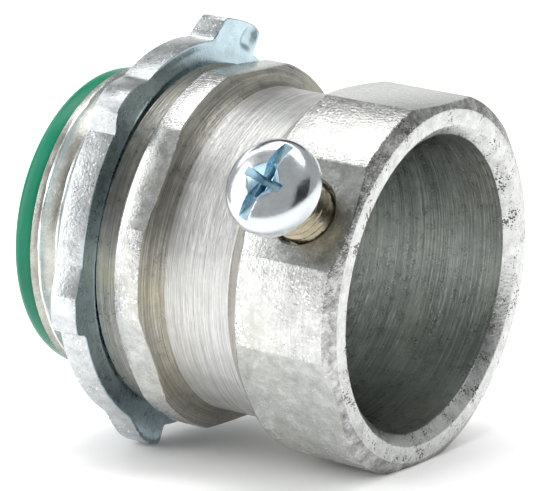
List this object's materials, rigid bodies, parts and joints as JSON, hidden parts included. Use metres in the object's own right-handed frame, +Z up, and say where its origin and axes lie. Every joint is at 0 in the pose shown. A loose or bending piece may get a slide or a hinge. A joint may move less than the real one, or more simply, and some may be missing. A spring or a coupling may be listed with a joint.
{
  "type": "set-screw conduit connector",
  "caption": "Steel connector that holds thin-wall conduit with a side screw and fixes it in a box knockout with a locknut; a plastic liner lines its throat.",
  "frame": {"origin": "middle of the underside: on the surface that the connector lies on, below the middle of its box", "axes": "+X along the connector's axis towards the conduit socket's mouth, -X towards the thread, +Z up"},
  "size_m": [0.0406, 0.046, 0.0438],
  "materials": {
    "body_zinc": "bright zinc plating over turned steel",
    "liner_green": "moulded, slightly glossy",
    "locknut_zinc": "zinc plating over pressed steel",
    "screw_zinc": "bright zinc plating, shiny"
  },
  "bodies": {
    "fitting": {"body": "body_zinc", "throat_liner": "liner_green"},
    "locknut": {"locknut": "locknut_zinc"},
    "set_screw": {"set_screw": "screw_zinc"}
  },
  "joints": [
    {"name": "locknut_travel", "type": "slide", "parent": "fitting", "child": "locknut", "axis": [-1, 0, 0], "range_m": [0, 0.013]},
    {"name": "set_screw_travel", "type": "slide", "parent": "fitting", "child": "set_screw", "axis": [0, -0.866, 0.5], "range_m": [-0.005, 0.003]}
  ]
}
